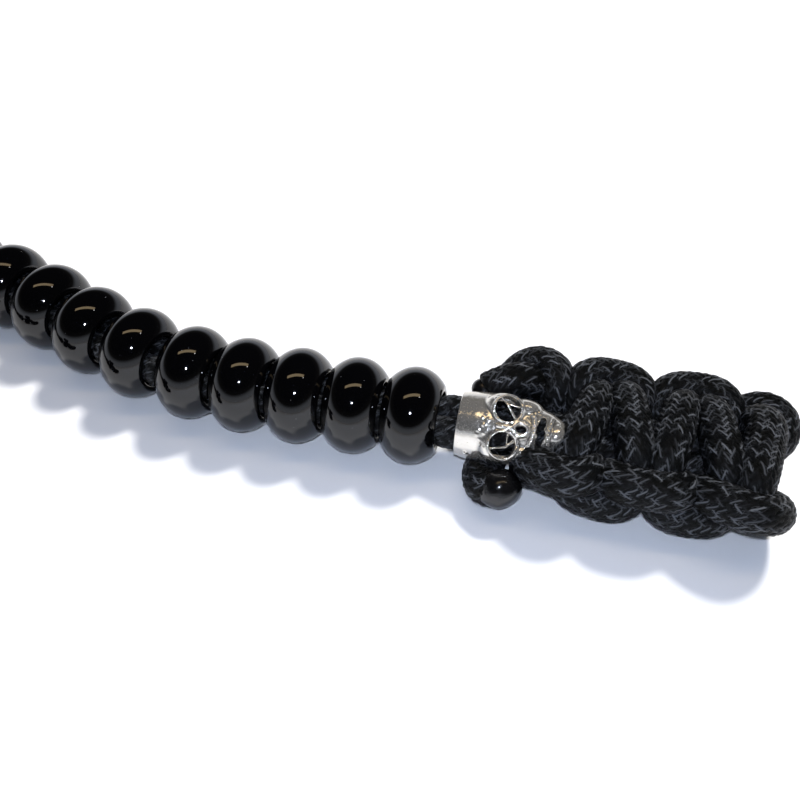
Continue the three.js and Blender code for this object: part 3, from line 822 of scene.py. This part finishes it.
class STRAND_OT_skull(Operator):
    """Casts the hollow skull bead: shell, eye rims and ribs, nose frame, mouth and crown rim"""
    bl_idname = "strand.skull"
    bl_label = "Skull"

    def execute(self, context):
        sizes = context.scene.strand_skull
        voxel = sizes.voxel / MM * 1
        # The head is lofted from rings: x, half width, height of the face, height of the middle.
        bm = bmesh.new()
        rings = []
        for x, half, face, middle in ((-0.4, 3.75, 3.8, 0), (0.8, 4.0, 4.1, 0), (2.6, 4.2, 4.6, 0),
                                      (4.8, 4.3, 4.85, 0), (6.6, 4.05, 4.8, 0.4), (8.2, 3.6, 4.7, 1.2),
                                      (9.8, 3.1, 4.7, 1.9), (11.2, 2.6, 4.75, 2.2), (12.3, 2.0, 4.55, 2.4),
                                      (12.95, 1.35, 4.2, 2.6),
                                      (13.25, 0.6, 3.7, 2.8)):
            ring = bmesh.ops.create_circle(bm, cap_ends=False, segments=48, radius=1.0)["verts"]
            bmesh.ops.rotate(bm, cent=(0, 0, 0), matrix=Matrix.Rotation(math.pi / 2, 3, "Y"), verts=ring)
            for v in ring:
                low = 4.4 if middle == 0 else 3.6 + middle
                v.co = (x, v.co.y * half, middle + v.co.z * (face - middle if v.co.z > 0 else low))
            rings.append({e for v in ring for e in v.link_edges})
        for one, two in zip(rings, rings[1:]):
            bmesh.ops.bridge_loops(bm, edges=list(one | two))
        bmesh.ops.holes_fill(bm, edges=[e for e in bm.edges if e.is_boundary], sides=0)
        bmesh.ops.recalc_face_normals(bm, faces=bm.faces)
        for side in (-1, 1):
            blob(bm, (7.9, side * 2.6, 2.5), (2.2, 1.25, 2.0), 4)
            blob(bm, (5.4, side * 2.2, 3.2), (2.3, 1.9, 1.75), 4)
        head = remeshed(mesh_from(bm), voxel * 1.5, 8)
        bm = bmesh.new()
        bm.from_mesh(head)
        tree = BVHTree.FromBMesh(bm)

        def skin(x, y, lift=0.0):
            hit, normal = tree.ray_cast(Vector((x, y, 12)), Vector((0, 0, -1)))[:2]
            return hit + normal * lift, normal

        eyes = [(6.05, side * 2.12) for side in (-1, 1)]
        for x, y in eyes:
            # Each eye has a raised rim that follows the brow.
            ring = [skin(x + 1.62 * math.cos(t), y + 1.55 * math.sin(t), 0.05)[0]
                    for t in np.linspace(0, 2 * math.pi, 41)]
            rib(bm, ring, 0.23)
        # A raised kite frames the nose, and its ridge runs up between the eyes.
        frame_ring = [(6.75, 0), (7.5, 0.82), (8.45, 0.55), (8.65, 0), (8.45, -0.55), (7.5, -0.82), (6.75, 0)]
        rib(bm, [skin(x, y, 0.10)[0] for x, y in frame_ring], 0.24)
        rib(bm, [skin(x, 0, 0.02)[0] for x in (5.2, 5.9, 6.75)], (0.22, 0.27, 0.3))
        # Lips: two rough ridges of teeth, each side of the mouth.
        for x, bow in ((9.35, -0.35), (10.95, 0.35)):
            ys = np.linspace(-1.75, 1.75, 8)
            spots = [skin(x + bow * (y / 1.75) ** 2, y, 0.10)[0] for y in ys]
            rib(bm, spots, 0.20)
            for k, p in enumerate(spots):
                blob(bm, p + Vector((0, 0, 0.06)), (0.20 + 0.05 * (k % 2), 0.17, 0.22), 2)
        for x, y, size in ((8.9, -1.75, 0.24), (9.2, 2.1, 0.2), (9.7, 2.35, 0.24), (8.7, 1.9, 0.16),
                           (10.3, -2.1, 0.2),
                           (3.5, -0.2, 0.17), (3.3, 0.6, 0.14), (3.9, 0.5, 0.17), (3.6, 1.1, 0.14), (3.0, -0.9, 0.13),
                           (3.7, -1.1, 0.15), (2.9, -1.4, 0.12), (3.3, -1.9, 0.13), (4.0, -0.8, 0.12),
                           (1.7, -3.55, 0.30), (4.4, 3.2, 0.18)):
            p = skin(x, y)[0]
            blob(bm, p, (size,) * 3, 3)
        blob(bm, skin(12.0, 0, -0.6)[0], (1.1, 1.35, 1.0), 4)
        fused = remeshed(mesh_from(bm), voxel, 2)

        # The hollow: an inner head, the cord's bore, an open back and the holes of the face.
        bm = bmesh.new()
        blob(bm, (4.6, 0, 0), (5.1, 3.7, 4.15), 4)
        blob(bm, (8.9, 0, 1.4), (3.7, 2.35, 2.4), 4)
        hollow = remeshed(mesh_from(bm), voxel * 1.5, 4)
        bm = bmesh.new()
        bm.from_mesh(hollow)
        bpy.data.meshes.remove(hollow)
        bore = bmesh.ops.create_cone(bm, cap_ends=True, segments=64, radius1=3.45, radius2=3.45, depth=28)["verts"]
        bmesh.ops.rotate(bm, cent=(0, 0, 0), matrix=Matrix.Rotation(math.pi / 2, 3, "Y"), verts=bore)
        bmesh.ops.translate(bm, vec=(-6.5, 0, 0), verts=bore)
        crown = bmesh.ops.create_cube(bm, size=20)["verts"]
        bmesh.ops.translate(bm, vec=(-9.75, 0, 0), verts=crown)
        # The back is open below the crown ring; the opening's edge bows, so that the rim sweeps.
        back = bmesh.ops.create_cone(bm, cap_ends=True, segments=96, radius1=12.2, radius2=12.2, depth=30)["verts"]
        bmesh.ops.rotate(bm, cent=(0, 0, 0), matrix=Matrix.Rotation(math.pi / 2, 3, "X"), verts=back)
        bmesh.ops.translate(bm, vec=(10.3, 0, -11.0), verts=back)
        for x, y in eyes:
            spot, normal = skin(x, y)
            for depth, size in ((0, 1.34), (-1.2, 1.5)):
                hole = bmesh.ops.create_cone(bm, cap_ends=True, segments=40, radius1=size, radius2=size,
                                             depth=3.0)["verts"]
                bmesh.ops.rotate(bm, cent=(0, 0, 0), matrix=normal.to_track_quat("Z", "Y").to_matrix(), verts=hole)
                bmesh.ops.translate(bm, vec=spot + normal * depth, verts=hole)
        blob(bm, skin(7.85, 0)[0], (0.62, 0.42, 2.4), 3)
        slot = [skin(10.1 + 0.12 * math.sin(9 * y), y)[0] for y in np.linspace(-1.5, 1.5, 7)]
        for k, p in enumerate(slot):
            blob(bm, p, (0.50 - 0.05 * abs(k - 3) + 0.06 * (k % 2), 0.36, 2.2), 3)
        tool = remeshed(mesh_from(bm), voxel * 1.15, 1)
        shell = carved(fused, tool)
        bm = bmesh.new()
        bm.from_mesh(shell)
        # A bent sprue crosses each eye off its middle, with one short side branch, no two eyes alike.
        for (x, y), ends, fork in zip(eyes, ((-2.75, 0.55, 1.25), (2.2, -0.75, 0.25)), ((0.55, -0.1), (-0.15, 0.6))):
            spot, normal = skin(x, y)
            hub = spot + Vector((*fork, 0)) - normal * 0.7
            tips = [spot + Vector((math.cos(t) * 1.6, math.sin(t) * 1.6, 0)) - normal * 0.85 for t in ends]
            rib(bm, [tips[0], (tips[0] + hub) / 2 - normal * 0.12, hub, tips[1]], (0.2, 0.12, 0.14, 0.2))
            rib(bm, [hub, tips[2]], (0.1, 0.14))
        made = remeshed(mesh_from(bm), voxel, 2)
        made.transform(skull_place())
        bm = bmesh.new()
        bm.from_mesh(made)
        keep_largest(bm)
        bm.normal_update()
        # How hollow the cast is at each point, for the painted shade in its recesses.
        hollow = np.array([sum((e.calc_face_angle_signed(0) for e in v.link_edges)) for v in bm.verts])
        bm.to_mesh(made)
        bm.free()
        recess_shade_mask = np.clip(-hollow * 0.9 - 0.05, 0, 1)
        made.attributes.new("recess_shade_mask", "FLOAT", "POINT").data.foreach_set("value", recess_shade_mask)
        add_piece("cast_skull", made, chromed_zinc(sizes), "skull", ["skull_bead"])
        return {"FINISHED"}


def keep_largest(bm):
    """Drops loose crumbs, keeping the largest shell."""
    left = set(bm.verts)
    shells = []
    while left:
        start = left.pop()
        shell, edge = [start], [start]
        while edge:
            v = edge.pop()
            for e in v.link_edges:
                o = e.other_vert(v)
                if o in left:
                    left.discard(o)
                    shell.append(o)
                    edge.append(o)
        shells.append(shell)
    shells.sort(key=len)
    for shell in shells[:-1]:
        bmesh.ops.delete(bm, geom=shell, context="VERTS")


class STRAND_OT_stage(Operator):
    """Lays the paper floor and sets the lamps and the camera"""
    bl_idname = "strand.stage"
    bl_label = "Stage"

    def execute(self, context):
        look = context.scene.strand_stage
        scene = context.scene
        scene.view_settings.view_transform = "Standard"
        first = Vector(JOINTS["bead_01"]["pos_m"])
        bm = bmesh.new()
        bmesh.ops.create_grid(bm, x_segments=8, y_segments=8, size=3.0)
        mesh = mesh_from(bm, "paper_floor")
        mesh.materials.append(matt_paper(look.floor))
        floor = bpy.data.objects.new("paper_floor", mesh)
        scene.collection.objects.link(floor)

        camera = bpy.data.objects.new("camera", bpy.data.cameras.new("camera"))
        camera.data.lens = look.lens
        camera.data.sensor_width = 36
        camera.data.clip_start = 0.001
        camera.location = first + Vector(look.camera)
        camera.rotation_euler = (math.pi / 2 - look.tilt, 0, 0)
        scene.collection.objects.link(camera)
        scene.camera = camera

        # The paper shows white and the strand's shade soft blue: a white lamp from behind on
        # the right, and a wide blue one overhead that the gloss doesn't mirror.
        sun = lamp("key_light", "SUN", 3.7, "#fffaf2")
        sun.data.angle = math.radians(11)
        sun.rotation_euler = Vector((-0.42, -0.55, -1.0)).to_track_quat("-Z", "Y").to_euler()
        sun.visible_glossy = False
        fill = lamp("sky_fill", "AREA", 6.5, "#b9d2ff", size=(2.4, 2.4))
        aim(fill, first + Vector((0, 0, 1.6)), first)
        fill.visible_glossy = False
        # A long warm lamp straight above and a small flash over the camera mark the beads' gloss.
        strip = lamp("warm_strip", "AREA", 0.55, "#ffe3b4", size=(0.62, 0.075))
        aim(strip, first + Vector((0.0, 0.02, 0.6)), first)
        flash = lamp("flash", "AREA", 0.10, "#dfeaff", size=(0.006, 0.006))
        aim(flash, camera.location + Vector((-0.002, -0.004, 0.014)), first)
        dot = lamp("small_lamp", "AREA", 0.02, "#ffffff", size=(0.012, 0.012))
        aim(dot, first + Vector((0.20, -0.02, 0.42)), first)

        world = bpy.data.worlds.new("room")
        scene.world = world
        world.use_nodes = True
        tree = world.node_tree
        back = next(n for n in tree.nodes if n.type == "BACKGROUND")
        way = add_node(tree, "TexCoord").outputs["Generated"]
        axes = add_node(tree, "SeparateXYZ", Vector=way)
        # White cards stand low round the paper; the room above them is dark.
        shade = add_node(tree, "ValToRGB", Fac=axes.outputs["Z"])
        ramp = shade.color_ramp
        ramp.elements[0].position = 0.0
        ramp.elements[0].color = linear("#f5f7ff")
        ramp.elements[1].position = 1.0
        ramp.elements[1].color = linear("#0b0a08")
        for position, code in ((0.16, "#dfe5f0"), (0.3, "#3c3a36"), (0.5, "#100f0c")):
            ramp.elements.new(position).color = linear(code)
        tree.links.new(shade.outputs["Color"], back.inputs["Color"])
        back.inputs["Strength"].default_value = 1.0
        return {"FINISHED"}


def lamp(name, kind, power, code, size=None):
    data = bpy.data.lights.new(name, kind)
    data.energy = power
    data.color = linear(code)[:3]
    if size:
        data.shape = "RECTANGLE"
        data.size, data.size_y = size
    made = bpy.data.objects.new(name, data)
    bpy.context.scene.collection.objects.link(made)
    return made


def aim(made, place, target):
    made.location = place
    made.rotation_euler = (Vector(target) - Vector(place)).to_track_quat("-Z", "Y").to_euler()


class STRAND_PT_panel(Panel):
    """Sizes, colours and pieces of the strand"""
    bl_label = "Prayer bead strand"
    bl_space_type = "VIEW_3D"
    bl_region_type = "UI"
    bl_category = "Beads"

    def draw(self, context):
        for key in GROUPS:
            group = getattr(context.scene, key)
            box = self.layout.box()
            for prop in group.bl_rna.properties:
                if prop.identifier not in ("rna_type", "name"):
                    box.prop(group, prop.identifier)
        for operator in OPERATORS:
            self.layout.operator(operator.bl_idname)


GROUPS = {"strand_bead": BeadSizes, "strand_cord": CordSizes, "strand_weave": WeaveSizes,
          "strand_skull": SkullSizes, "strand_stage": StageLook}
OPERATORS = (STRAND_OT_stage, STRAND_OT_cords, STRAND_OT_beads, STRAND_OT_stopper, STRAND_OT_skull)


def register():
    for made in (*GROUPS.values(), *OPERATORS, STRAND_PT_panel):
        bpy.utils.register_class(made)
    for key, group in GROUPS.items():
        setattr(bpy.types.Scene, key, PointerProperty(type=group))


def unregister():
    for key in GROUPS:
        delattr(bpy.types.Scene, key)
    for made in reversed((*GROUPS.values(), *OPERATORS, STRAND_PT_panel)):
        bpy.utils.unregister_class(made)


def main():
    register()
    for operator in OPERATORS:
        area, name = operator.bl_idname.split(".")
        getattr(getattr(bpy.ops, area), name)()
    bpy.context.view_layer.update()


if __name__ == "__main__":
    main()
